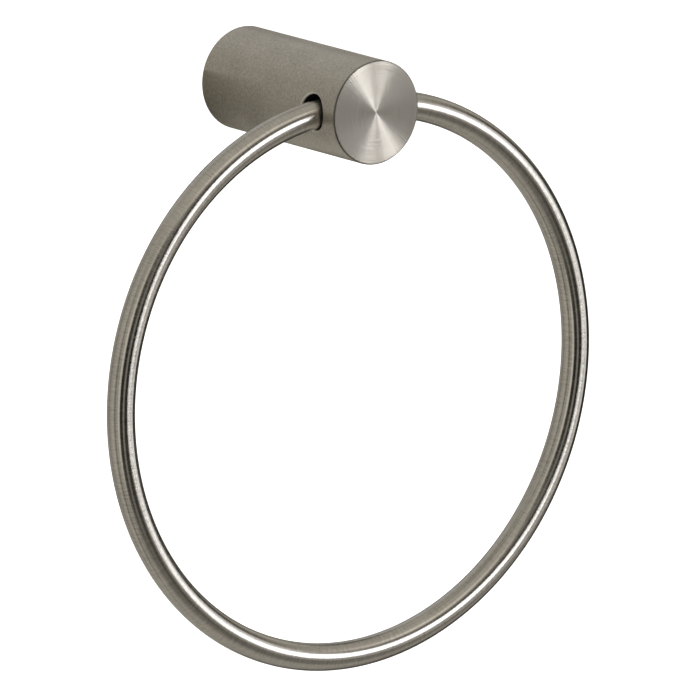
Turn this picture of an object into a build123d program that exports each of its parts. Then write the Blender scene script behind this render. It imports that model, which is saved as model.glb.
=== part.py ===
from build123d import *
from math import atan2, degrees, sqrt
import os

# Towel ring: a round post on a concealed wall bracket, and a ring that hangs loose in a cross bore.
# The wall is the XZ plane, the post stands out from it along -Y, and +Z is up. Sizes are in millimetres.

# Post
post_diameter = 30.0
post_length = 63.0
post_wall = 4.0
front_edge_break = 0.4
rear_edge_break = 0.3

# Ring: full circle below, with a short straight top that joins it by tighter shoulders
bar_diameter = 8.0
ring_outside_diameter = 170.0
ring_flat_length = 6.6
ring_top_drop = 2.2

# Cross bore that the ring hangs in
bore_play = 1.1
bore_behind_front = 10.5
bore_lip_break = 0.5
bar_seat_gap = 0.3

# Wall bracket inside the rear of the post
bracket_length = 11.0
bracket_edge_break = 0.5
bracket_play = 0.2
screw_head_room = 4.0
groove_depth = 1.3
groove_from_wall = 6.0
wall_hole_diameter = 4.5
wall_hole_spacing = 10.5
countersink_diameter = 8.4
countersink_angle = 90.0

# Grub screw that draws the post onto the bracket
grub_diameter = 4.0
grub_play = 0.1
grub_sink = 0.5
grub_seat_gap = 0.3
grub_end_break = 0.3
grub_mouth_break = 0.2
socket_flats = 2.0
socket_depth = 1.8

# Sizes that follow from the ones above
post_radius = post_diameter / 2
bar_radius = bar_diameter / 2
bore_radius = bar_radius + bore_play
bore_from_wall = post_length - bore_behind_front
recess_radius = post_radius - post_wall
bracket_radius = recess_radius - bracket_play
recess_depth = bracket_length + screw_head_room
grub_radius = grub_diameter / 2
grub_outer_end = grub_sink - post_radius
grub_tip = groove_depth - grub_seat_gap - bracket_radius

# The shoulder bend touches the straight top at one end and the full circle at the other
ring_radius = ring_outside_diameter / 2 - bar_radius
flat_half = ring_flat_length / 2
shoulder_radius = ring_radius - (flat_half**2 + ring_top_drop**2) / (2 * ring_top_drop)
shoulder_turn = degrees(atan2(flat_half, ring_radius - shoulder_radius - ring_top_drop))

# The ring hangs so that its bar lies just above the lower lip of the bore at both mouths
lip_reach = sqrt(post_radius**2 - bore_radius**2) - flat_half
bar_inside_radius = shoulder_radius - bar_radius - bar_seat_gap
ring_top = shoulder_radius - bore_radius - sqrt(bar_inside_radius**2 - lip_reach**2)

# Planes that the pieces are drawn on
wall_plane = Plane.XZ
ring_plane = Plane.XZ.offset(bore_from_wall)
groove_plane = Plane.XZ.offset(groove_from_wall)
grub_axis = Axis((0, -groove_from_wall, 0), (0, 0, 1))


# Post: bar, rear recess, cross bore with broken lips, tapped hole underneath
with BuildPart() as post:
    with BuildSketch(wall_plane):
        Circle(post_radius)
    extrude(amount=post_length)
    chamfer(post.faces().sort_by(Axis.Y)[0].edges(), length=front_edge_break)
    chamfer(post.faces().sort_by(Axis.Y)[-1].edges(), length=rear_edge_break)
    with BuildSketch(wall_plane):
        Circle(recess_radius)
    extrude(amount=recess_depth, mode=Mode.SUBTRACT)
    with BuildSketch(Plane.YZ):
        with Locations((-bore_from_wall, 0)):
            Circle(bore_radius)
    extrude(amount=post_radius, both=True, mode=Mode.SUBTRACT)
    bore_lips = post.edges(Select.LAST).filter_by(GeomType.LINE, reverse=True)
    chamfer(bore_lips, length=bore_lip_break)
    with BuildSketch(Plane.XY.offset(-post_radius)):
        with Locations((0, -groove_from_wall)):
            Circle(grub_radius + grub_play)
    extrude(amount=post_radius, mode=Mode.SUBTRACT)
    grub_mouth = post.edges(Select.LAST).filter_by(GeomType.LINE, reverse=True).sort_by(Axis.Z)[0]
    chamfer(grub_mouth, length=grub_mouth_break)
post.part.label = "post"

# Ring: the bar swept once round its closed centreline, from the left end of the straight top
with BuildPart() as ring:
    with BuildLine(ring_plane) as centreline:
        top = Line((-flat_half, ring_top), (flat_half, ring_top))
        right_shoulder = JernArc(top @ 1, top % 1, shoulder_radius, -shoulder_turn)
        circle = JernArc(right_shoulder @ 1, right_shoulder % 1, ring_radius, 2 * shoulder_turn - 360)
        JernArc(circle @ 1, circle % 1, shoulder_radius, -shoulder_turn)
    with BuildSketch(Plane(origin=top @ 0, z_dir=top % 0)):
        Circle(bar_radius)
    sweep(path=centreline.wire())
ring.part.label = "ring"

# Wall bracket: turned boss with a V-groove round it and two countersunk holes for wall screws
with BuildPart() as wall_bracket:
    with BuildSketch(Plane.XY):
        with BuildLine():
            Polyline(
                (0, 0),
                (bracket_radius, 0),
                (bracket_radius, groove_depth - groove_from_wall),
                (bracket_radius - groove_depth, -groove_from_wall),
                (bracket_radius, -groove_depth - groove_from_wall),
                (bracket_radius, bracket_edge_break - bracket_length),
                (bracket_radius - bracket_edge_break, -bracket_length),
                (0, -bracket_length),
                close=True,
            )
        make_face()
    revolve(axis=Axis.Y)
    with Locations(wall_plane.offset(bracket_length)):
        with GridLocations(wall_hole_spacing, 0, 2, 1):
            CounterSinkHole(
                radius=wall_hole_diameter / 2,
                counter_sink_radius=countersink_diameter / 2,
                depth=bracket_length,
                counter_sink_angle=countersink_angle,
            )
wall_bracket.part.label = "wall_bracket"

# Grub screw: cone point in the groove, hexagon socket at the outer end
with BuildPart() as grub_screw:
    with BuildSketch(groove_plane):
        with BuildLine():
            Polyline(
                (0, grub_outer_end),
                (grub_radius - grub_end_break, grub_outer_end),
                (grub_radius, grub_outer_end + grub_end_break),
                (grub_radius, grub_tip - grub_radius),
                (0, grub_tip),
                close=True,
            )
        make_face()
    revolve(axis=grub_axis)
    with BuildSketch(Plane.XY.offset(grub_outer_end)):
        with Locations((0, -groove_from_wall)):
            RegularPolygon(socket_flats / 2, 6, major_radius=False)
    extrude(amount=socket_depth, mode=Mode.SUBTRACT)
grub_screw.part.label = "grub_screw"

os.makedirs("parts", exist_ok=True)
for piece in (post, ring, wall_bracket, grub_screw):
    export_step(piece.part, f"parts/{piece.part.label}.step")
    print(piece.part.label, round(piece.part.volume, 1), "mm3")
print("ring top", round(ring_top, 3), "shoulder radius", round(shoulder_radius, 3))
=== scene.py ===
# %% [markdown]
# # Towel ring: a brushed post and a ring that hangs loose in it
# The real object is two bars of one brushed metal, one turned and one bent. A thick round post stands out
# from the wall, and a thin round bar, bent to a closed ring, hangs in a bore that goes across the post
# near its front. The sizes come from the imported model, which is loaded first and stays as it is: this
# lesson only dresses it.

# %% Load the plain model
import math

import bmesh
import bpy
from mathutils import Matrix, Vector


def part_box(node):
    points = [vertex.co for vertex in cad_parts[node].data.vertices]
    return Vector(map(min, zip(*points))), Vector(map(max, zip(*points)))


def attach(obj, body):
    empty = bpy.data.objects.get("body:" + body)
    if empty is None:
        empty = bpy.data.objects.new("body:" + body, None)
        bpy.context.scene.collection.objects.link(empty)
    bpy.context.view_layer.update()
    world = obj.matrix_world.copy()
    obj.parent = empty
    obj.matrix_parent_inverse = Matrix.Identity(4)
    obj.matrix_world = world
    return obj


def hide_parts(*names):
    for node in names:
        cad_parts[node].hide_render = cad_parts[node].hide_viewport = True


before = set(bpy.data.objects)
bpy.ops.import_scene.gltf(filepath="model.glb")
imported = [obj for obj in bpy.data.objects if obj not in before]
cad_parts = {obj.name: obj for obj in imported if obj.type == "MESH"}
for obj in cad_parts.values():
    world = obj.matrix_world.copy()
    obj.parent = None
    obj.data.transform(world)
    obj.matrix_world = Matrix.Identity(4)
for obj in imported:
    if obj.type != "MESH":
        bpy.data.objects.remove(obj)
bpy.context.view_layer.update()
scene = bpy.context.scene

# %% [markdown]
# ## Sizes
# Blender works in metres here, and the object is less than twenty centimetres across, so a name for the
# millimetre keeps the numbers readable. The outer sizes are read from the boxes of the plain pieces. They
# could be typed in again, but then two files would have to agree. The box of a round piece can be a hair
# too small, because its mesh has flats, so each reading is rounded to a tenth of a millimetre.

# %% Read the outer sizes
mm = 0.001


def tenth(length):
    return round(length / mm, 1) * mm


post_low, post_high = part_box("post")
ring_low, ring_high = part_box("ring")
post_radius = tenth((post_high.z - post_low.z) / 2)
post_length = tenth(post_high.y - post_low.y)
bar_radius = tenth((ring_high.y - ring_low.y) / 2)
ring_radius = tenth((ring_high.x - ring_low.x) / 2 - bar_radius)
bore_station = tenth(-(ring_high.y + ring_low.y) / 2)
ring_bottom = tenth(ring_low.z)
print("post radius, length, bar radius, ring radius, bore from the wall:", [round(size / mm, 1) for size in (
    post_radius, post_length, bar_radius, ring_radius, bore_station)], "mm")

# %% [markdown]
# ## Camera
# The picture to match was taken from far away with a long lens: the near and far sides of the post are
# almost parallel in it. The camera is therefore given by its bearing, height and roll, by the distance,
# and by where the middle of the picture lies beside and below the bore. A lens is a focal length in
# pixels here, because that is what a measured picture gives, and it is turned into millimetres on
# Blender's sensor.

# %% Camera at the picture's view
picture_side = 696
focal_pixels = 13396
camera_distance = 3.8
camera_bearing = math.radians(37.09)
camera_height = math.radians(12.25)
camera_roll = math.radians(0.62)
aim_right = -1.67 * mm
aim_up = -68.43 * mm

forward = Vector((
    math.sin(camera_bearing) * math.cos(camera_height),
    math.cos(camera_bearing) * math.cos(camera_height),
    -math.sin(camera_height),
))
level_right = Vector((math.cos(camera_bearing), -math.sin(camera_bearing), 0))
level_up = level_right.cross(forward)
right = level_right * math.cos(camera_roll) + level_up * math.sin(camera_roll)
up = level_up * math.cos(camera_roll) - level_right * math.sin(camera_roll)
aim = Vector((0, -bore_station, 0)) + right * aim_right + up * aim_up

camera = bpy.data.objects.new("camera", bpy.data.cameras.new("camera"))
camera.data.sensor_fit = "HORIZONTAL"
camera.data.lens = camera.data.sensor_width * focal_pixels / picture_side
camera.matrix_world = Matrix.Translation(aim - forward * camera_distance) @ Matrix(
    (right, up, -forward)
).transposed().to_4x4()
scene.collection.objects.link(camera)
scene.camera = camera
print("camera at", tuple(round(v, 3) for v in camera.location), "lens", round(camera.data.lens, 1), "mm")

# %% [markdown]
# ## Small helpers for node trees
# Every finish below is a tree of nodes, and a few helpers keep the cells short. fill() gives the inputs
# of a node a value each, or a link from another node, and add() makes a node and fills it. The next three
# are single steps of arithmetic and mixing that come up again and again. Inputs are given by name or
# number.

# %% Helpers: nodes and arithmetic


def fill(tree, node, inputs):
    for key, value in inputs.items():
        if isinstance(value, bpy.types.NodeSocket):
            tree.links.new(value, node.inputs[key])
        else:
            node.inputs[key].default_value = value
    return node


def add(tree, kind, options=None, inputs=None):
    node = tree.nodes.new(kind)
    for name, value in (options or {}).items():
        setattr(node, name, value)
    return fill(tree, node, inputs or {})


def maths(tree, operation, first, second=0.0, third=0.0):
    node = add(tree, "ShaderNodeMath", {"operation": operation}, {0: first, 1: second, 2: third})
    return node.outputs[0]


def vector_maths(tree, operation, first, second=(0.0, 0.0, 0.0)):
    node = add(tree, "ShaderNodeVectorMath", {"operation": operation}, {0: first, 1: second})
    gives_number = operation in ("DOT_PRODUCT", "LENGTH")
    return node.outputs["Value" if gives_number else "Vector"]


def mix_colours(tree, share, first, second):
    """From the first colour to the second. A Mix node lists its colours as inputs 6 and 7 and output 2."""
    node = add(tree, "ShaderNodeMix", {"data_type": "RGBA"}, {0: share, 6: first, 7: second})
    return node.outputs[2]


# %% [markdown]
# A node group is a tree with named inputs and outputs that other trees use as one node. It saves building
# the same effect again in each material, and a later change to it reaches all of them.

# %% Helpers: node groups


def new_group(name, inputs, outputs):
    group = bpy.data.node_groups.new(name, "ShaderNodeTree")
    for socket, kind in inputs.items():
        group.interface.new_socket(socket, in_out="INPUT", socket_type="NodeSocket" + kind)
    for socket, kind in outputs.items():
        group.interface.new_socket(socket, in_out="OUTPUT", socket_type="NodeSocket" + kind)
    return group, group.nodes.new("NodeGroupInput").outputs, group.nodes.new("NodeGroupOutput").inputs


def use_group(tree, group, inputs):
    node = add(tree, "ShaderNodeGroup", {"node_tree": group}, inputs)
    return node.outputs


# %% [markdown]
# ## Studio light
# Bare metal has no colour of its own to speak of: it shows the room. So the room is made first, a warm
# grey light tent with lamps, pale walls and dark cards in it. They could be objects round the piece, but
# a panel painted on the world sphere is quicker to place, has soft edges and adds little noise. One node
# group makes such a panel: it asks how far a direction lies from the panel's middle, sideways and
# upwards, and fades out at the edges. All these reaches, that of the soft edge too, are tangents of
# angles, measured on a plane in front of the viewer.

# %% Node group: soft panel on the world sphere
nearly_sideways = 0.001
panel_group, given, result = new_group(
    "Soft panel",
    {"Direction": "Vector", "Facing": "Vector", "Right": "Vector", "Up": "Vector",
     "Half Width": "Float", "Half Height": "Float", "Soft Edge": "Float"},
    {"Mask": "Float"},
)
ahead = vector_maths(panel_group, "DOT_PRODUCT", given["Direction"], given["Facing"])
safe_ahead = maths(panel_group, "MAXIMUM", ahead, nearly_sideways)
mask = maths(panel_group, "GREATER_THAN", ahead, nearly_sideways)
for axis, half in (("Right", "Half Width"), ("Up", "Half Height")):
    reach = maths(panel_group, "DIVIDE", vector_maths(
        panel_group, "DOT_PRODUCT", given["Direction"], given[axis]), safe_ahead)
    fade = add(panel_group, "ShaderNodeMapRange", {"interpolation_type": "SMOOTHSTEP"}, {
        "Value": maths(panel_group, "ABSOLUTE", reach),
        "From Min": maths(panel_group, "SUBTRACT", given[half], given["Soft Edge"]),
        "From Max": maths(panel_group, "ADD", given[half], given["Soft Edge"]),
        "To Min": 1.0,
        "To Max": 0.0,
    })
    mask = maths(panel_group, "MULTIPLY", mask, fade.outputs["Result"])
panel_group.links.new(mask, result["Mask"])
print("made group", panel_group.name)

# %% [markdown]
# Each panel is placed by its bearing from the wall's normal, positive to the right, and its height above
# the horizon. It covers what lies behind it, so a bright one is a lamp or a pale wall and a dark one is a
# black card. They are laid on in order, the later over the earlier. Warmth is how much of the cloth's
# tint a panel takes: the cloth is warm and the lamps are white.
#
# Two lamps before a wide softbox make the ring's white bands and the fans on the post's face. From the
# camera, the flat face mirrors a point below them, in the dark slot, and a lamp that leans towards that
# point lights a narrow, crisp fan. The dark cards give the bar its dark lines, and the walls and strips
# its grey flanks.

# %% Panels of the tent
white = Vector((1.0, 1.0, 1.0))
cloth_tint = Vector((1.0, 0.955, 0.84))
tent_brightness = 0.40
panels = {
    # name: (bearing, height, half width, half height in degrees, soft edge, brightness, warmth)
    "pale ceiling": (20, 78, 40, 30, 0.25, 0.48, 1),
    "pale wall above": (160, 34, 28, 14, 0.20, 0.50, 0.25),
    "dim corner": (-88, -22, 7, 50, 0.06, 0.22, 1),
    "pale wall": (-110, -10, 9, 50, 0.08, 0.47, 1),
    "dim rear left": (-152, -15, 12, 40, 0.12, 0.27, 1),
    "grey table right": (45, -32, 22, 14, 0.10, 0.25, 1),
    "dark table": (-14, -42, 38, 18, 0.15, 0.17, 1),
    "dark front card": (-15.5, 1, 33, 35, 0.03, 0.01, 1),
    "grey stand": (-15.5, 0, 7, 32, 0.04, 0.25, 1),
    "left strip": (-55, 0, 8, 34, 0.04, 0.68, 1),
    "right pale strip": (112, 24, 10, 8, 0.08, 0.55, 1),
    "dark right card": (85, 2, 12, 28, 0.03, 0.01, 1),
    "dark far right card": (110, -14, 15, 22, 0.08, 0.03, 1),
    "dark back card": (134, -22, 36, 34, 0.10, 0.04, 1),
    "pale wall below": (176, -40, 18, 14, 0.10, 0.45, 1),
    "dark card above": (127, 41, 10, 10, 0.06, 0.05, 1),
    "upper strip": (14, 50, 28, 8, 0.05, 0.85, 1),
    "dark gap under the strip": (12, 30.5, 24, 5, 0.05, 0.12, 1),
    "soft right side": (57.5, 3, 15.5, 20, 0.05, 1.2, 0),
    "wide softbox": (34, 8.5, 18, 14.5, 0.03, 1.15, 0),
    "dark slot": (35.5, -12.5, 17.5, 4.2, 0.02, 0.40, 0.7),
    "right lamp": (42.3, 10, 5.8, 10, 0.02, 5.0, 0),
    "left lamp": (26, 6.5, 4.3, 13, 0.02, 5.4, 0),
    "seam between the lamps": (34.6, 10, 1.2, 14, 0.015, 0.6, 0.3),
}
lean_degrees = {"left lamp": -44, "right lamp": 22, "seam between the lamps": -10}
print(len(panels), "panels,", len(lean_degrees), "of them lean")

# %% [markdown]
# The world's colour is a chain: the tent's own grey, then one mix for each panel. Only the metal sees
# that chain. The camera, looking past the object, sees plain white, as behind a product in a catalogue.

# %% World: warm grey tent with panels


def panel_axes(bearing, height, tilt):
    """Which way a panel faces, and its own right and up. All angles are in radians."""
    facing = Vector((
        math.sin(bearing) * math.cos(height), -math.cos(bearing) * math.cos(height), math.sin(height)))
    level = Vector((math.cos(bearing), math.sin(bearing), 0))
    upright = facing.cross(level)
    along = level * math.cos(tilt) - upright * math.sin(tilt)
    above = upright * math.cos(tilt) + level * math.sin(tilt)
    return facing, along, above


world = bpy.data.worlds.new("light tent")
world.use_nodes = True
scene.world = world
tent = world.node_tree
tent.nodes.clear()
direction = add(tent, "ShaderNodeTexCoord").outputs["Generated"]
light = (*cloth_tint * tent_brightness, 1)
for name, (bearing, height, half_width, half_height, soft_edge, brightness, warmth) in panels.items():
    facing, along, above = panel_axes(
        math.radians(bearing), math.radians(height), math.radians(lean_degrees.get(name, 0)))
    mask = use_group(tent, panel_group, {
        "Direction": direction,
        "Facing": facing,
        "Right": along,
        "Up": above,
        "Half Width": math.tan(math.radians(half_width)),
        "Half Height": math.tan(math.radians(half_height)),
        "Soft Edge": soft_edge,
    })["Mask"]
    light = mix_colours(tent, mask, light, (*white.lerp(cloth_tint, warmth) * brightness, 1))
seen_in_metal = add(tent, "ShaderNodeBackground", {}, {"Color": light})
seen_by_camera = add(tent, "ShaderNodeBackground", {}, {"Color": (*white, 1)})
is_camera = add(tent, "ShaderNodeLightPath").outputs["Is Camera Ray"]
either = add(tent, "ShaderNodeMixShader", {}, {
    0: is_camera, 1: seen_in_metal.outputs[0], 2: seen_by_camera.outputs[0]})
add(tent, "ShaderNodeOutputWorld", {}, {"Surface": either.outputs[0]})
scene.view_settings.view_transform = "Standard"
print("world of", len(tent.nodes), "nodes")

# %% [markdown]
# ## Floor
# The object hangs on a wall, so the pale floor lies well below it and only fills the picture. It is lit
# from within, as a light table is, so no shadow falls on it, and it is left out of the reflections, which
# would otherwise turn every underside white. Its own underside is see-through, so the object can be
# looked at from below.

# %% Pale floor


def stage_plate(name, paint_name, points, faces):
    """A flat thing of the studio and the node tree of its paint."""
    mesh = bpy.data.meshes.new(name)
    mesh.from_pydata(points, [], faces)
    plate = bpy.data.objects.new(name, mesh)
    scene.collection.objects.link(plate)
    paint = bpy.data.materials.new(paint_name)
    paint.use_nodes = True
    mesh.materials.append(paint)
    return plate, paint.node_tree


floor_drop = 0.3
floor_height = ring_bottom - floor_drop
floor_reach = 6.0
floor_pale = (0.9, 0.9, 0.9, 1)
floor_corners = [(x * floor_reach, y * floor_reach, floor_height)
                 for x, y in ((-1, -1), (1, -1), (1, 1), (-1, 1))]
floor, paint = stage_plate("floor", "floor white", floor_corners, [(0, 1, 2, 3)])
lit_top = fill(paint, paint.nodes["Principled BSDF"], {
    "Base Color": floor_pale, "Roughness": 0.9, "Emission Color": (*white, 1), "Emission Strength": 1.0})
underside = add(paint, "ShaderNodeNewGeometry").outputs["Backfacing"]
see_through = add(paint, "ShaderNodeBsdfTransparent")
one_sided = add(paint, "ShaderNodeMixShader", {}, {
    0: underside, 1: lit_top.outputs[0], 2: see_through.outputs[0]})
fill(paint, paint.nodes["Material Output"], {"Surface": one_sided.outputs[0]})
floor.visible_glossy = False
floor.visible_diffuse = False
print("floor at", round(floor_height, 3))

# %% [markdown]
# ## Grey collar
# The lower rear of the post is darker than its front. A panel on the world sphere is endlessly far away
# and darkens the whole length alike, so this shade needs something near. A photographer would hold a grey
# card close behind the post. Here the card is part of a flat collar, just behind the plane of the wall,
# round the lower left of the post, from one turn in degrees to another, counted from the top. It grows
# paler towards its upper end. The camera doesn't see it; the metal does.

# %% Grey collar behind the post
collar_setback = 2 * mm
collar_gap = 0.3 * mm
collar_reach = 30 * mm
collar_start = -204
collar_end = -76
collar_step = 8
collar_inner = post_radius + collar_gap
collar_outer = post_radius + collar_reach
collar_turns = [math.radians(turn) for turn in range(collar_start, collar_end + 1, collar_step)]
collar_low = -18 * mm
collar_high = 6 * mm
collar_low_grey = (0.55, 0.53, 0.485, 1)
collar_high_grey = (0.74, 0.715, 0.66, 1)
collar_points = [(radius * math.sin(turn), collar_setback, radius * math.cos(turn))
                 for turn in collar_turns for radius in (collar_inner, collar_outer)]
collar_faces = [(2 * k, 2 * k + 1, 2 * k + 3, 2 * k + 2) for k in range(len(collar_turns) - 1)]
collar, paint = stage_plate("collar", "collar grey", collar_points, collar_faces)
spot = add(paint, "ShaderNodeTexCoord").outputs["Object"]
height = add(paint, "ShaderNodeSeparateXYZ", {}, {0: spot}).outputs["Z"]
rise = add(paint, "ShaderNodeMapRange", {}, {
    "Value": height, "From Min": collar_low, "From Max": collar_high}).outputs["Result"]
fill(paint, paint.nodes["Principled BSDF"], {
    "Base Color": mix_colours(paint, rise, collar_low_grey, collar_high_grey), "Roughness": 1.0})
collar.visible_camera = False
collar.visible_diffuse = False
collar.visible_shadow = False
print("collar", round(collar_inner / mm, 1), "to", round(collar_outer / mm, 1), "mm")

# %% [markdown]
# ## Brushed lines
# The bar and the post are brushed, and the post's face is turned: an abrasive or a tool leaves fine
# lines, longer than they are wide. A noise that is squeezed in one direction looks like that, and the
# same pattern serves the bar, the post and the turned face, so it is one node group. Its Place input is a
# position in metres whose third part runs across the lines. It gives a tone for the colour and the
# roughness, a height for the bump, and a slow cloud for the uneven hand of the polisher. The noise seldom
# leaves the middle of its range, so the tone is that middle, spread out.

# %% Node group: brushed lines
noise_low = 0.3
noise_high = 0.7
lines_group, given, result = new_group(
    "Brushed lines",
    {"Place": "Vector", "Line Width": "Float", "Line Length": "Float", "Cloud Size": "Float"},
    {"Tone": "Float", "Height": "Float", "Cloud": "Float"},
)
per_length = maths(lines_group, "DIVIDE", 1.0, given["Line Length"])
per_width = maths(lines_group, "DIVIDE", 1.0, given["Line Width"])
per_cloud = maths(lines_group, "DIVIDE", 1.0, given["Cloud Size"])
squeeze = add(lines_group, "ShaderNodeCombineXYZ", {}, {0: per_length, 1: per_length, 2: per_width})
squeezed = vector_maths(lines_group, "MULTIPLY", given["Place"], squeeze.outputs[0])
fine = add(lines_group, "ShaderNodeTexNoise", {}, {
    "Vector": squeezed, "Scale": 1.0, "Detail": 3.0, "Roughness": 0.6}).outputs["Fac"]
slow_place = add(lines_group, "ShaderNodeVectorMath", {"operation": "SCALE"}, {
    0: given["Place"], "Scale": per_cloud})
slow = add(lines_group, "ShaderNodeTexNoise", {}, {
    "Vector": slow_place.outputs[0], "Scale": 1.0, "Detail": 2.0, "Roughness": 0.5}).outputs["Fac"]
tone = add(lines_group, "ShaderNodeMapRange", {}, {
    "Value": fine, "From Min": noise_low, "From Max": noise_high}).outputs["Result"]
for socket, value in (("Tone", tone), ("Height", fine), ("Cloud", slow)):
    lines_group.links.new(value, result[socket])
print("made group", lines_group.name)

# %% [markdown]
# A brushed surface is rough across its lines and nearly a mirror along them. The Principled shader has
# that as Anisotropic, with a Tangent that points across the lines, the way the reflections smear. One
# function makes such a metal from a place, a tangent and a few numbers, and each finish then has its own
# cell.

# %% Function: brushed metal
line_share = 0.6
cloud_share = 0.4


def brushed_metal(name, place_and_tangent, dark, light, rough, spread, width, length, cloud, depth):
    material = bpy.data.materials.new(name)
    material.use_nodes = True
    tree = material.node_tree
    place, tangent = place_and_tangent(tree)
    lines = use_group(tree, lines_group, {
        "Place": place, "Line Width": width, "Line Length": length, "Cloud Size": cloud})
    line_shade = maths(tree, "MULTIPLY", lines["Tone"], line_share)
    shade = maths(tree, "MULTIPLY_ADD", lines["Cloud"], cloud_share, line_shade)
    polish = add(tree, "ShaderNodeMapRange", {}, {
        "Value": lines["Tone"], "To Min": rough[0], "To Max": rough[1]})
    bump = add(tree, "ShaderNodeBump", {}, {"Height": lines["Height"], "Distance": depth, "Strength": 1.0})
    across = add(tree, "ShaderNodeVectorTransform", {
        "vector_type": "VECTOR", "convert_from": "OBJECT", "convert_to": "WORLD"}, {"Vector": tangent})
    fill(tree, tree.nodes["Principled BSDF"], {
        "Base Color": mix_colours(tree, shade, dark, light),
        "Roughness": polish.outputs["Result"],
        "Normal": bump.outputs["Normal"],
        "Tangent": across.outputs["Vector"],
        "Metallic": 1.0,
        "Anisotropic": spread,
    })
    print("made finish", name)
    return material


# %% [markdown]
# ### The bar
# The lines run round the bar, so a pattern in space would be wrong: it has to follow the bend. The ring
# below therefore carries two attributes from before it was bent: the place on the straight bar, and the
# direction along it. The finish reads both.

# %% Finish: bar


def bar_directions(tree):
    place = add(tree, "ShaderNodeAttribute", {"attribute_name": "straight_place"}).outputs["Vector"]
    lengthwise = add(tree, "ShaderNodeAttribute", {"attribute_name": "lengthwise"}).outputs["Vector"]
    return place, lengthwise


bar_finish = brushed_metal(
    "brushed bar", bar_directions,
    dark=(0.46, 0.44, 0.41, 1), light=(0.80, 0.766, 0.722, 1),
    rough=(0.18, 0.24), spread=1.0,
    width=0.26 * mm, length=2.4 * mm, cloud=14 * mm, depth=0.003 * mm,
)

# %% [markdown]
# ### The side of the post
# The post was brushed as it turned, so its lines run round it too. They are short here, more a grain than
# lines, and less than twice as long as wide. The post is straight, so plain object coordinates serve: the
# third part of the place is the Y coordinate, and the reflections smear along Y.

# %% Finish: post side


def side_directions(tree):
    spot = add(tree, "ShaderNodeTexCoord").outputs["Object"]
    parts = add(tree, "ShaderNodeSeparateXYZ", {}, {0: spot}).outputs
    place = add(tree, "ShaderNodeCombineXYZ", {}, {0: parts["X"], 1: parts["Z"], 2: parts["Y"]})
    lengthwise = add(tree, "ShaderNodeCombineXYZ", {}, {1: 1.0})
    return place.outputs[0], lengthwise.outputs[0]


side_finish = brushed_metal(
    "brushed post side", side_directions,
    dark=(0.39, 0.367, 0.335, 1), light=(0.89, 0.845, 0.775, 1),
    rough=(0.33, 0.39), spread=0.85,
    width=0.45 * mm, length=0.75 * mm, cloud=12 * mm, depth=0.006 * mm,
)

# %% [markdown]
# ### The turned front face
# A facing tool leaves rings round the axis. Light then smears outwards from the middle, and the lamps
# show as fans, like a bow tie. Radius and direction come from the object coordinates, so the lines are
# circles, and the tangent points away from the axis. Round the circle, the pattern is that of a small
# ring, so that it closes on itself without a seam.

# %% Finish: turned face
turn_size = 4 * mm


def round_the_axis(tree):
    """The distance from the post's axis and the direction away from it."""
    spot = add(tree, "ShaderNodeTexCoord").outputs["Object"]
    flat = vector_maths(tree, "MULTIPLY", spot, (1.0, 0.0, 1.0))
    return vector_maths(tree, "LENGTH", flat), vector_maths(tree, "NORMALIZE", flat)


def face_directions(tree):
    radius, outward = round_the_axis(tree)
    parts = add(tree, "ShaderNodeSeparateXYZ", {}, {0: outward}).outputs
    place = add(tree, "ShaderNodeCombineXYZ", {}, {
        0: maths(tree, "MULTIPLY", parts["X"], turn_size),
        1: maths(tree, "MULTIPLY", parts["Z"], turn_size),
        2: radius,
    })
    return place.outputs[0], outward


face_finish = brushed_metal(
    "turned face", face_directions,
    dark=(0.43, 0.405, 0.37, 1), light=(0.62, 0.59, 0.55, 1),
    rough=(0.23, 0.27), spread=1.0,
    width=0.12 * mm, length=3.0 * mm, cloud=9 * mm, depth=0.0008 * mm,
)

# %% [markdown]
# A facing tool also chatters a little. That leaves faint waves which run outwards and throw the light to
# one side and the other, so the fans break up into thin spokes. The waves are a noise on the circle of
# directions, which closes on itself, and their height grows with the radius, so they are equally steep
# all the way out. Their bump is laid over the bump of the turning marks.

# %% Spokes on the turned face
spoke_width = 0.035
spoke_depth = 0.014 * mm
tree = face_finish.node_tree
shader = tree.nodes["Principled BSDF"]
turning_marks = shader.inputs["Normal"].links[0].from_socket
radius, outward = round_the_axis(tree)
waves = add(tree, "ShaderNodeTexNoise", {}, {
    "Vector": outward, "Scale": 1 / spoke_width, "Detail": 1.0, "Roughness": 0.5})
swell = maths(tree, "MULTIPLY", waves.outputs["Fac"], maths(tree, "DIVIDE", radius, post_radius))
spokes = add(tree, "ShaderNodeBump", {}, {
    "Height": swell, "Distance": spoke_depth, "Strength": 1.0, "Normal": turning_marks})
fill(tree, shader, {"Normal": spokes.outputs["Normal"]})
print("spokes of", round(math.degrees(spoke_width), 1), "degrees")

# %% [markdown]
# ### Broken edges
# The turned ends of the post and the lips of the bore are too narrow to brush. The ends are given a dark,
# smooth colour, a painted dark line round each end, which still shows white where it faces the lamps. The
# lips are given a very pale colour, a painted highlight round each mouth of the bore.

# %% Finishes: ends with a painted dark line, lips with a painted highlight
# Painted dark line: the dark colour of the end roundings stands in for a dark reflection at the edges.
end_painted_dark_line_finish = brushed_metal(
    "end with painted dark line", face_directions,
    dark=(0.20, 0.19, 0.175, 1), light=(0.28, 0.27, 0.25, 1),
    rough=(0.14, 0.20), spread=0.2,
    width=0.2 * mm, length=3.0 * mm, cloud=5 * mm, depth=0.0004 * mm,
)
# Painted highlight: the lips' very pale colour stands in for the light rim round the mouths of the bore.
lip_painted_highlight_finish = brushed_metal(
    "lip with painted highlight", side_directions,
    dark=(0.80, 0.78, 0.74, 1), light=(0.92, 0.90, 0.87, 1),
    rough=(0.42, 0.50), spread=0.0,
    width=0.2 * mm, length=1.0 * mm, cloud=4 * mm, depth=0.001 * mm,
)
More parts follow.
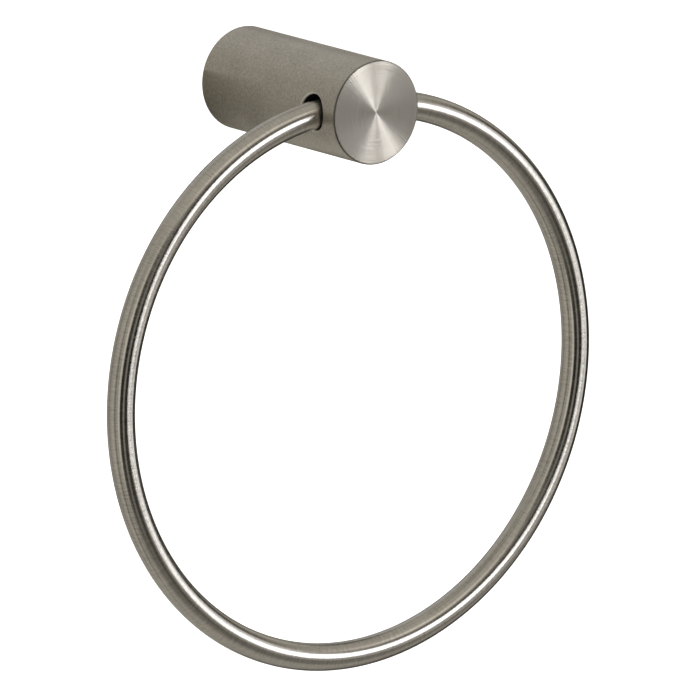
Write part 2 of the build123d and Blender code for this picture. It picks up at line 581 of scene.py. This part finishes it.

# %% [markdown]
# ### Drilled and hidden metal
# The bore, the recess at the rear and the bracket inside it are as the tools left them: duller, with
# coarse turning marks. The bore and the recess are also very dark, a painted shade for the shadow deep in
# them. The set screw is darker steel. The plain bracket and screw have the right shape already, so they
# stay and only take these finishes.

# %% Finishes: drilled metal with painted shade, bracket, set screw
# Painted shade: the very dark drilled colour stands in for the shadow inside the bore and the recess.
drilled_painted_shade_finish = brushed_metal(
    "drilled metal with painted shade", side_directions,
    dark=(0.11, 0.105, 0.096, 1), light=(0.20, 0.19, 0.175, 1),
    rough=(0.40, 0.52), spread=0.3,
    width=0.4 * mm, length=2.0 * mm, cloud=6 * mm, depth=0.006 * mm,
)
bracket_finish = brushed_metal(
    "turned bracket", face_directions,
    dark=(0.50, 0.50, 0.49, 1), light=(0.68, 0.68, 0.67, 1),
    rough=(0.30, 0.42), spread=0.6,
    width=0.35 * mm, length=3.0 * mm, cloud=7 * mm, depth=0.004 * mm,
)
screw_finish = brushed_metal(
    "set screw steel", side_directions,
    dark=(0.16, 0.16, 0.165, 1), light=(0.30, 0.30, 0.305, 1),
    rough=(0.30, 0.45), spread=0.2,
    width=0.2 * mm, length=0.6 * mm, cloud=2 * mm, depth=0.003 * mm,
)
for node_name, finish in (("wall_bracket", bracket_finish), ("grub_screw", screw_finish)):
    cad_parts[node_name].material_slots[0].material = finish

# %% [markdown]
# ## The ring
# A bender makes the ring from a straight bar: a short straight length at the top, hidden in the post,
# then two shoulders of a slightly tighter bend, then the large round. A torus would miss the shoulders,
# so Geometry Nodes draw that centreline from its own arcs and sweep a circle along it. Before the sweep
# the tree stores where each point lay on the straight bar.
#
# A shoulder's centre lies straight below the end of the flat, and on one line with the centre of the
# large round and the point where the two arcs meet. That gives the shoulder's radius and how far it
# turns.

# %% Sizes of the bend
flat_half = 3.3 * mm
top_drop = 2.2 * mm
ring_top = ring_bottom + bar_radius + 2 * ring_radius - top_drop
shoulder_radius = ring_radius - (flat_half**2 + top_drop**2) / (2 * top_drop)
shoulder_turn = math.atan2(flat_half, ring_radius - shoulder_radius - top_drop)
print("ring top", round(ring_top / mm, 3), "shoulder", round(shoulder_radius / mm, 2), "mm",
      round(math.degrees(shoulder_turn), 1), "degrees")

# %% [markdown]
# The tree has a named input for each size, so another ring only needs other numbers. A modifier knows an
# input by its identifier and not by its name, so the identifiers are kept.

# %% Geometry Nodes: inputs of the bent bar
bend_values = {
    "Ring Radius": ring_radius,
    "Shoulder Radius": shoulder_radius,
    "Shoulder Turn": shoulder_turn,
    "Flat Half": flat_half,
    "Top Height": ring_top,
    "Top Drop": top_drop,
    "Bar Radius": bar_radius,
    "Wall Distance": bore_station,
}
bent_bar = bpy.data.node_groups.new("Bent bar", "GeometryNodeTree")
bent_bar.interface.new_socket("Geometry", in_out="OUTPUT", socket_type="NodeSocketGeometry")
bend_sockets = {
    name: bent_bar.interface.new_socket(name, in_out="INPUT", socket_type="NodeSocketFloat").identifier
    for name in bend_values
}
finish_socket = bent_bar.interface.new_socket(
    "Finish", in_out="INPUT", socket_type="NodeSocketMaterial").identifier
bend = bent_bar.nodes.new("NodeGroupInput").outputs
print("bent bar takes", list(bend_values), "and a finish")

# %% [markdown]
# The four stretches are drawn flat, with X to the right and Y up: the short flat, and three arcs that
# follow it clockwise. The numbers of points give the arcs steps of about the same length.

# %% Geometry Nodes: four stretches of the centreline
flat_points = 6
shoulder_points = 66
round_points = 226


def spot_at(x, y):
    return add(bent_bar, "ShaderNodeCombineXYZ", {}, {0: x, 1: y}).outputs[0]


def arc(radius, start, sweep, points, x, y):
    """An arc round the point x, y."""
    curve = add(bent_bar, "GeometryNodeCurveArc", {"mode": "RADIUS"}, {
        "Resolution": points, "Radius": radius, "Start Angle": start, "Sweep Angle": sweep})
    return add(bent_bar, "GeometryNodeTransform", {}, {
        "Geometry": curve.outputs[0], "Translation": spot_at(x, y)}).outputs[0]


flat_right = bend["Flat Half"]
flat_left = maths(bent_bar, "MULTIPLY", flat_right, -1.0)
minus_turn = maths(bent_bar, "MULTIPLY", bend["Shoulder Turn"], -1.0)
right_end = maths(bent_bar, "ADD", minus_turn, math.pi / 2)
left_end = maths(bent_bar, "ADD", bend["Shoulder Turn"], math.pi / 2)
round_sweep = maths(bent_bar, "MULTIPLY_ADD", bend["Shoulder Turn"], 2.0, -2 * math.pi)
shoulder_height = maths(bent_bar, "SUBTRACT", bend["Top Height"], bend["Shoulder Radius"])
round_height = maths(bent_bar, "SUBTRACT", maths(
    bent_bar, "ADD", bend["Top Height"], bend["Top Drop"]), bend["Ring Radius"])

flat_line = add(bent_bar, "GeometryNodeCurvePrimitiveLine", {}, {
    "Start": spot_at(flat_left, bend["Top Height"]), "End": spot_at(flat_right, bend["Top Height"])})
flat_stretch = add(bent_bar, "GeometryNodeResampleCurve", {}, {
    "Curve": flat_line.outputs[0], "Count": flat_points}).outputs[0]
right_shoulder = arc(
    bend["Shoulder Radius"], math.pi / 2, minus_turn, shoulder_points, flat_right, shoulder_height)
large_round = arc(bend["Ring Radius"], right_end, round_sweep, round_points, 0.0, round_height)
left_shoulder = arc(
    bend["Shoulder Radius"], left_end, minus_turn, shoulder_points, flat_left, shoulder_height)
print("stretches of", flat_points, shoulder_points, round_points, shoulder_points, "points")

# %% [markdown]
# The stretches are separate curves. Turned into plain edges, merged where their ends meet and turned
# back, they become one closed curve. It is then stood up in the plane of the bore.

# %% Geometry Nodes: one closed centreline
end_gap = 0.01 * mm
stretches = add(bent_bar, "GeometryNodeJoinGeometry")
for stretch in (left_shoulder, large_round, right_shoulder, flat_stretch):
    bent_bar.links.new(stretch, stretches.inputs[0])
edges = add(bent_bar, "GeometryNodeCurveToMesh", {}, {"Curve": stretches.outputs[0]})
joined = add(bent_bar, "GeometryNodeMergeByDistance", {}, {
    "Geometry": edges.outputs[0], "Distance": end_gap})
closed = add(bent_bar, "GeometryNodeMeshToCurve", {}, {"Mesh": joined.outputs[0]})
from_wall = maths(bent_bar, "MULTIPLY", bend["Wall Distance"], -1.0)
centreline = add(bent_bar, "GeometryNodeTransform", {}, {
    "Geometry": closed.outputs[0],
    "Translation": spot_at(0.0, from_wall),
    "Rotation": (math.pi / 2, 0.0, 0.0),
}).outputs[0]
print("centreline made of", len(stretches.inputs[0].links), "stretches")

# %% [markdown]
# The sweep carries attributes of the centreline and of its section over to the tube. The length along the
# centreline and the place on the section together are the place on the straight bar. Last, the tree turns
# everything into plain geometry and gives it the finish.

# %% Geometry Nodes: sweep with the place on the straight bar
section_points = 64


def stored(geometry, name, kind, value):
    return add(bent_bar, "GeometryNodeStoreNamedAttribute", {"data_type": kind}, {
        "Geometry": geometry, "Name": name, "Value": value}).outputs[0]


def read_back(name, kind):
    return add(bent_bar, "GeometryNodeInputNamedAttribute", {"data_type": kind}, {"Name": name}).outputs[0]


length_so_far = add(bent_bar, "GeometryNodeSplineParameter").outputs["Length"]
tangent = add(bent_bar, "GeometryNodeInputTangent").outputs[0]
centreline = stored(centreline, "along", "FLOAT", length_so_far)
centreline = stored(centreline, "lengthwise", "FLOAT_VECTOR", tangent)
circle = add(bent_bar, "GeometryNodeCurvePrimitiveCircle", {"mode": "RADIUS"}, {
    "Resolution": section_points, "Radius": bend["Bar Radius"]})
position = add(bent_bar, "GeometryNodeInputPosition").outputs[0]
section = stored(circle.outputs[0], "section_place", "FLOAT_VECTOR", position)
tube = add(bent_bar, "GeometryNodeCurveToMesh", {}, {"Curve": centreline, "Profile Curve": section})
section_parts = add(bent_bar, "ShaderNodeSeparateXYZ", {}, {
    0: read_back("section_place", "FLOAT_VECTOR")}).outputs
straight_place = add(bent_bar, "ShaderNodeCombineXYZ", {}, {
    0: section_parts["X"], 1: section_parts["Y"], 2: read_back("along", "FLOAT")})
marked = stored(tube.outputs[0], "straight_place", "FLOAT_VECTOR", straight_place.outputs[0])
smooth = add(bent_bar, "GeometryNodeSetShadeSmooth", {}, {"Geometry": marked})
realized = add(bent_bar, "GeometryNodeRealizeInstances", {}, {"Geometry": smooth.outputs[0]})
finished = add(bent_bar, "GeometryNodeSetMaterial", {}, {
    "Geometry": realized.outputs[0], "Material": bend["Finish"]})
add(bent_bar, "NodeGroupOutput", {}, {0: finished.outputs[0]})
print("bent bar tree has", len(bent_bar.nodes), "nodes")

# %% [markdown]
# The tree runs once as a modifier. Its result is taken as a plain mesh, so nothing live is left on the
# piece. The piece then takes the place of the plain ring and moves with the hanging body.

# %% Ring piece
ring = bpy.data.objects.new("bent_ring", bpy.data.meshes.new("bent_ring"))
scene.collection.objects.link(ring)
bending = ring.modifiers.new("bend", "NODES")
bending.node_group = bent_bar
for name, value in bend_values.items():
    bending[bend_sockets[name]] = value
bending[finish_socket] = bar_finish


def make_plain(piece):
    """Works the piece's modifiers into its mesh."""
    graph = bpy.context.evaluated_depsgraph_get()
    ready = piece.evaluated_get(graph)
    mesh = bpy.data.meshes.new_from_object(ready, preserve_all_data_layers=True, depsgraph=graph)
    piece.modifiers.clear()
    piece.data = mesh


make_plain(ring)
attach(ring, "hanging_ring")
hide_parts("ring")
print("ring:", len(ring.data.polygons), "faces, attributes", [a.name for a in ring.data.attributes])

# %% [markdown]
# ## The post
# The post is a turned bar with three holes: the bore across it, the recess at its rear and a small tapped
# hole below. Cutting them with booleans leaves long thin faces that shade badly on bare metal. Here every
# wall is a grid instead, and round each hole a square window of the grid is filled with rings that grow
# from the round rim to the square. A point on the post is given by a radius, an angle from the top and a
# station, which is the distance from the wall.

# %% Sizes of the post's cuts
bore_play = 1.1 * mm
bore_radius = bar_radius + bore_play
bore_lip = 0.5 * mm
front_edge = 0.4 * mm
rear_edge = 0.3 * mm
recess_wall = 4 * mm
recess_radius = post_radius - recess_wall
recess_depth = 15 * mm
tapped_station = 6 * mm
tapped_radius = 2.1 * mm
tapped_lip = 0.2 * mm
print("bore, recess and tapped hole radius:", [round(size / mm, 1) for size in (
    bore_radius, recess_radius, tapped_radius)], "mm")

# %% [markdown]
# Everything on the post is made of loops of points and strips of faces between two loops. A strip notes
# which finish its faces take, by the number of the finish in the post's list.

# %% Loops and strips
columns = 96
SIDE, FACE, DRILLED_PAINTED_SHADE, END, LIP = range(5)


def on_post(radius, angle, station):
    return Vector((radius * math.sin(angle), -station, radius * math.cos(angle)))


def turned_loop(mesh, radius, station):
    """A loop of points round the post's axis, or a pole where the radius is zero."""
    turns = columns if radius else 1
    return [mesh.verts.new(on_post(radius, math.tau * c / columns, station)) for c in range(turns)]


def strip(mesh, first, second, finish):
    """Faces between two loops of points. A loop of one point is a pole."""
    for k in range(max(len(first), len(second))):
        corners = [first[k % len(first)], first[(k + 1) % len(first)],
                   second[(k + 1) % len(second)], second[k % len(second)]]
        face = mesh.faces.new(list(dict.fromkeys(corners)))
        face.material_index = finish
        face.smooth = True


# %% [markdown]
# A hole is drilled towards the axis at one angle and station. Its rim on a wall of a given radius follows
# from the drill's radius. With a rounded lip, the centre of the rounding lies one lip radius outside the
# drill and inside the wall, and the lip is the arc between the two surfaces. Each point of the rim
# belongs to one point on the border of the square window, which is a number of columns and rows away from
# the hole's middle.

# %% Holes in a round wall


class Hole:
    def __init__(self, column, station, radius, lip, half_window):
        border_points = 8 * half_window
        self.column = column
        self.angle = math.tau * column / columns
        self.station = station
        self.radius = radius
        self.lip = lip
        self.half = half_window
        self.outward = on_post(1, self.angle, 0)
        self.sideways = on_post(1, self.angle + math.pi / 2, 0)
        self.turns = [math.tau * k / border_points for k in range(border_points)]

    def rim(self, wall_radius, turn):
        """Angle and station where the lip leaves the wall."""
        reach = (self.radius + self.lip) * math.sin(turn) * wall_radius / (wall_radius - self.lip)
        station = self.station + (self.radius + self.lip) * math.cos(turn)
        return self.angle + math.asin(reach / wall_radius), station

    def from_middle(self, turn):
        """The direction from the drill's own axis to its surface."""
        return self.sideways * math.sin(turn) - Vector((0, 1, 0)) * math.cos(turn)

    def lip_point(self, wall_radius, turn, share):
        """A point on the rounded lip: share 0 lies on the wall, 1 in the drilled hole."""
        across = (self.radius + self.lip) * math.sin(turn)
        depth = math.sqrt((wall_radius - self.lip) ** 2 - across**2)
        drilled = self.from_middle(turn)
        middle = (self.outward * depth + drilled * (self.radius + self.lip)
                  - Vector((0, self.station, 0)))
        from_axis = Vector((middle.x, 0, middle.z)).normalized()
        return middle + from_axis.slerp(-drilled, share) * self.lip

    def inside_point(self, depth, turn):
        """A point in the drilled hole, at a distance from the post's axis."""
        return self.outward * depth + self.from_middle(turn) * self.radius - Vector((0, self.station, 0))

    def window(self):
        """Columns and rows from the middle to the points round the square window."""
        h = self.half
        top_right = [(k, h) for k in range(h)]
        right_side = [(h, h - k) for k in range(2 * h)]
        bottom = [(h - k, -h) for k in range(2 * h)]
        left_side = [(-h, k - h) for k in range(2 * h)]
        top_left = [(k - h, h) for k in range(h)]
        return top_right + right_side + bottom + left_side + top_left


# %% [markdown]
# A window is filled from its border inwards. Between border and rim the rings go over from the square to
# the round, and they crowd together near the rim, where the shape matters most.

# %% Filling a window
window_rings = 6
crowding = 1.4


def fill_window(mesh, radius, stations, middle_row, border, hole, finish):
    """Builds the rings of one window and gives back the last one, the rim."""
    outer = border
    for step in range(window_rings - 1, -1, -1):
        share = (step / window_rings) ** crowding
        loop = []
        for turn, (side, rise) in zip(hole.turns, hole.window()):
            rim_angle, rim_station = hole.rim(radius, turn)
            edge_angle = hole.angle + math.tau * side / columns
            edge_station = stations[middle_row + rise]
            loop.append(mesh.verts.new(on_post(
                radius,
                rim_angle + share * (edge_angle - rim_angle),
                rim_station + share * (edge_station - rim_station),
            )))
        strip(mesh, outer, loop, finish)
        outer = loop
    return outer


# %% [markdown]
# A wall is then a grid with windows: every field of the grid gets a face, apart from those in a window.

# %% Walls with windows


def wall(mesh, radius, stations, holes, finish):
    """Builds a round wall and gives back its first and last loop and the rim loop of each hole."""
    grid = [turned_loop(mesh, radius, station) for station in stations]
    rows = {hole: min(range(len(stations)), key=lambda r: abs(stations[r] - hole.station))
            for hole in holes}

    def in_window(hole, column, row):
        beside = (column - hole.column + hole.half) % columns
        return beside < 2 * hole.half and -hole.half <= row - rows[hole] < hole.half

    for r in range(len(stations) - 1):
        for c in range(columns):
            if not any(in_window(hole, c, r) for hole in holes):
                face = mesh.faces.new((grid[r][c], grid[r][(c + 1) % columns],
                                       grid[r + 1][(c + 1) % columns], grid[r + 1][c]))
                face.material_index = finish
                face.smooth = True
    rims = []
    for hole in holes:
        border = [grid[rows[hole] + rise][(hole.column + side) % columns] for side, rise in hole.window()]
        rims.append(fill_window(mesh, radius, stations, rows[hole], border, hole, finish))
    return grid[0], grid[-1], rims


# %% [markdown]
# The rows of a wall must pass through the edges of its windows, so its stations are worked out stretch by
# stretch. A row is a millimetre high, and twice that on the plain stretch between the two windows.

# %% Holes and rows of the post
row_height = 1 * mm
bore_window = 8
tapped_window = 4
right_column = columns // 4
bottom_column = columns // 2
left_column = columns * 3 // 4
no_lip = 0.0
bore_left = Hole(left_column, bore_station, bore_radius, bore_lip, bore_window)
bore_right = Hole(right_column, bore_station, bore_radius, bore_lip, bore_window)
tapped = Hole(bottom_column, tapped_station, tapped_radius, tapped_lip, tapped_window)
tapped_inside = Hole(bottom_column, tapped_station, tapped_radius, no_lip, tapped_window)


def rows_between(start, end, spacing=row_height):
    """Evenly spaced stations from start up to, but not including, end."""
    count = max(1, round((end - start) / spacing))
    return [start + (end - start) * k / count for k in range(count)]


side_end = post_length - front_edge
bore_start = bore_station - bore_window * row_height
bore_end = bore_station + bore_window * row_height
tapped_start = tapped_station - tapped_window * row_height
tapped_end = tapped_station + tapped_window * row_height
side_rows = (
    rows_between(rear_edge, tapped_start)
    + rows_between(tapped_start, tapped_end)
    + rows_between(tapped_end, bore_start, 2 * row_height)
    + rows_between(bore_start, bore_end)
    + rows_between(bore_end, side_end)
    + [side_end]
)
recess_rows = (
    rows_between(0.0, tapped_start)
    + rows_between(tapped_start, tapped_end)
    + rows_between(tapped_end, recess_depth)
    + [recess_depth]
)
print(len(side_rows), "rows on the side,", len(recess_rows), "in the recess")

# %% [markdown]
# The two walls come first: the side with the two mouths of the bore and the tapped hole, and the inside
# of the recess, where the tapped hole comes out.

# %% Side and recess
shape = bmesh.new()
rear_loop, front_loop, (left_rim, right_rim, tapped_rim) = wall(
    shape, post_radius, side_rows, (bore_left, bore_right, tapped), SIDE)
mouth_loop, floor_loop, (inner_rim,) = wall(shape, recess_radius, recess_rows, (tapped_inside,), DRILLED_PAINTED_SHADE)
print("two walls:", len(shape.faces), "faces")

# %% [markdown]
# The two ends of the post are turned: a list of radius and station pairs, each a loop. The front is the
# small rounded edge and the flat face, and the rear is its edge, the flat that sits on the wall and the
# recess.

# %% Turned ends
edge_steps = 4
face_rings = 10


def turned_end(loop, outline, finish):
    for radius, station in outline:
        following = turned_loop(shape, radius, station)
        strip(shape, loop, following, finish)
        loop = following
    return loop


quarter = [math.pi / 2 * k / edge_steps for k in range(1, edge_steps + 1)]
inwards = [1 - k / face_rings for k in range(1, face_rings + 1)]
front_rounding = [(post_radius - front_edge * (1 - math.cos(q)), side_end + front_edge * math.sin(q))
                  for q in quarter]
rear_rounding = [(post_radius - rear_edge * (1 - math.cos(q)), rear_edge * (1 - math.sin(q)))
                 for q in quarter]
front_flat = [((post_radius - front_edge) * share, post_length) for share in inwards]
recess_floor = [(recess_radius * share, recess_depth) for share in inwards]
face_edge = turned_end(front_loop, front_rounding, END)
turned_end(face_edge, front_flat, FACE)
rear_flat = turned_end(rear_loop, rear_rounding, END)
strip(shape, rear_flat, mouth_loop, FACE)
turned_end(floor_loop, recess_floor, DRILLED_PAINTED_SHADE)
print("with its ends:", len(shape.faces), "faces")

# %% [markdown]
# Last come the holes themselves. From each rim the rounded lip leads into the drilled wall. The two
# halves of the bore run to the middle of the post and meet there, and the tapped hole runs to its rim in
# the recess. Merging the points that lie in one place closes the shape.

# %% Lips and drilled walls
lip_steps = 5
bore_rings = 12
same_place = 0.001 * mm
for hole, rim in ((bore_left, left_rim), (bore_right, right_rim), (tapped, tapped_rim)):
    loop = rim
    for k in range(1, lip_steps + 1):
        following = [shape.verts.new(hole.lip_point(post_radius, turn, k / lip_steps))
                     for turn in hole.turns]
        strip(shape, loop, following, LIP)
        loop = following
    if hole is tapped:
        strip(shape, loop, inner_rim, DRILLED_PAINTED_SHADE)
        continue
    lip_depths = [hole.lip_point(post_radius, turn, 1.0).dot(hole.outward) for turn in hole.turns]
    for k in range(1, bore_rings + 1):
        following = [shape.verts.new(hole.inside_point(depth * (1 - k / bore_rings), turn))
                     for depth, turn in zip(lip_depths, hole.turns)]
        strip(shape, loop, following, DRILLED_PAINTED_SHADE)
        loop = following
bmesh.ops.remove_doubles(shape, verts=shape.verts, dist=same_place)
bmesh.ops.recalc_face_normals(shape, faces=shape.faces)
open_edges = sum(not edge.is_manifold for edge in shape.edges)
print("post mesh:", len(shape.faces), "faces,", open_edges, "open edges,",
      "volume", round(shape.calc_volume() / mm**3), "mm3")

# %% [markdown]
# Flat and round stretches meet in small roundings. Weighted normals keep the flats flat to the eye, so
# the roundings alone catch the light. The finishes are listed in the order of their numbers above.

# %% Post piece
sharp_angle = math.radians(40)
post = bpy.data.objects.new("drilled_post", bpy.data.meshes.new("drilled_post"))
shape.to_mesh(post.data)
shape.free()
scene.collection.objects.link(post)
for finish in (side_finish, face_finish, drilled_painted_shade_finish, end_painted_dark_line_finish, lip_painted_highlight_finish):
    post.data.materials.append(finish)
post.data.set_sharp_from_angle(angle=sharp_angle)
even = post.modifiers.new("even shading", "WEIGHTED_NORMAL")
even.keep_sharp = True
make_plain(post)
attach(post, "fixed_post")
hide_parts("post")
print("post:", len(post.data.polygons), "faces")
